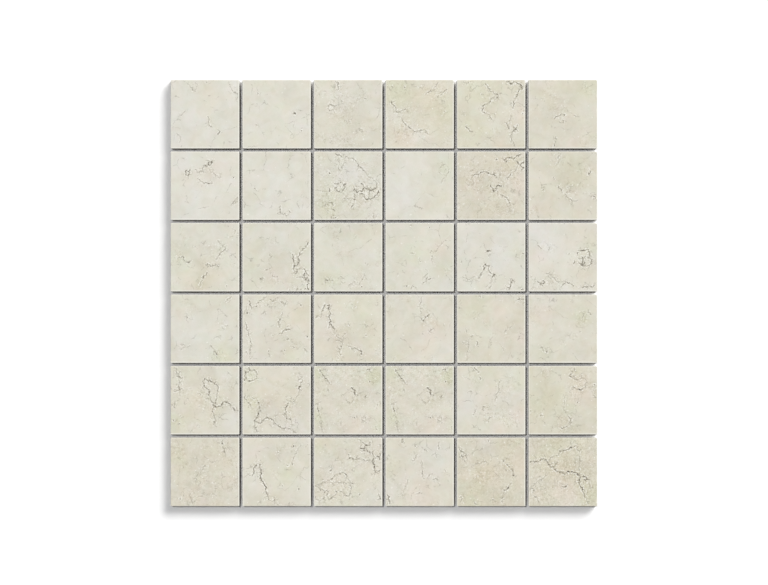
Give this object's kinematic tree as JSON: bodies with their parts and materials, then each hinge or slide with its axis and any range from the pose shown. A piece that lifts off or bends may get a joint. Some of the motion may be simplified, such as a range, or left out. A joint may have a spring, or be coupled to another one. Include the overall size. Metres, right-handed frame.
{
  "type": "mosaic tile sheet",
  "caption": "Square sheet of small square stone-look porcelain tiles in a plain grid with open joints, held together by a yarn net on the back.",
  "frame": {"origin": "middle of the sheet's underside, on the floor below the net", "axes": "+Z out of the tiles' faces, +X along a row to the right and +Y up the columns as the sheet is seen from its face"},
  "size_m": [0.298, 0.298, 0.0095],
  "materials": {
    "tile": "matt printed glaze, cream stone look with fine grey-brown veins",
    "net": "white coated glass yarn"
  },
  "bodies": {
    "root": {"tile_r1_c1": "tile", "tile_r1_c2": "tile", "tile_r1_c3": "tile", "tile_r1_c4": "tile", "tile_r1_c5": "tile", "tile_r1_c6": "tile", "tile_r2_c1": "tile", "tile_r2_c2": "tile", "tile_r2_c3": "tile", "tile_r2_c4": "tile", "tile_r2_c5": "tile", "tile_r2_c6": "tile", "tile_r3_c1": "tile", "tile_r3_c2": "tile", "tile_r3_c3": "tile", "tile_r3_c4": "tile", "tile_r3_c5": "tile", "tile_r3_c6": "tile", "tile_r4_c1": "tile", "tile_r4_c2": "tile", "tile_r4_c3": "tile", "tile_r4_c4": "tile", "tile_r4_c5": "tile", "tile_r4_c6": "tile", "tile_r5_c1": "tile", "tile_r5_c2": "tile", "tile_r5_c3": "tile", "tile_r5_c4": "tile", "tile_r5_c5": "tile", "tile_r5_c6": "tile", "tile_r6_c1": "tile", "tile_r6_c2": "tile", "tile_r6_c3": "tile", "tile_r6_c4": "tile", "tile_r6_c5": "tile", "tile_r6_c6": "tile", "net_warp": "net", "net_weft": "net"}
  },
  "joints": []
}
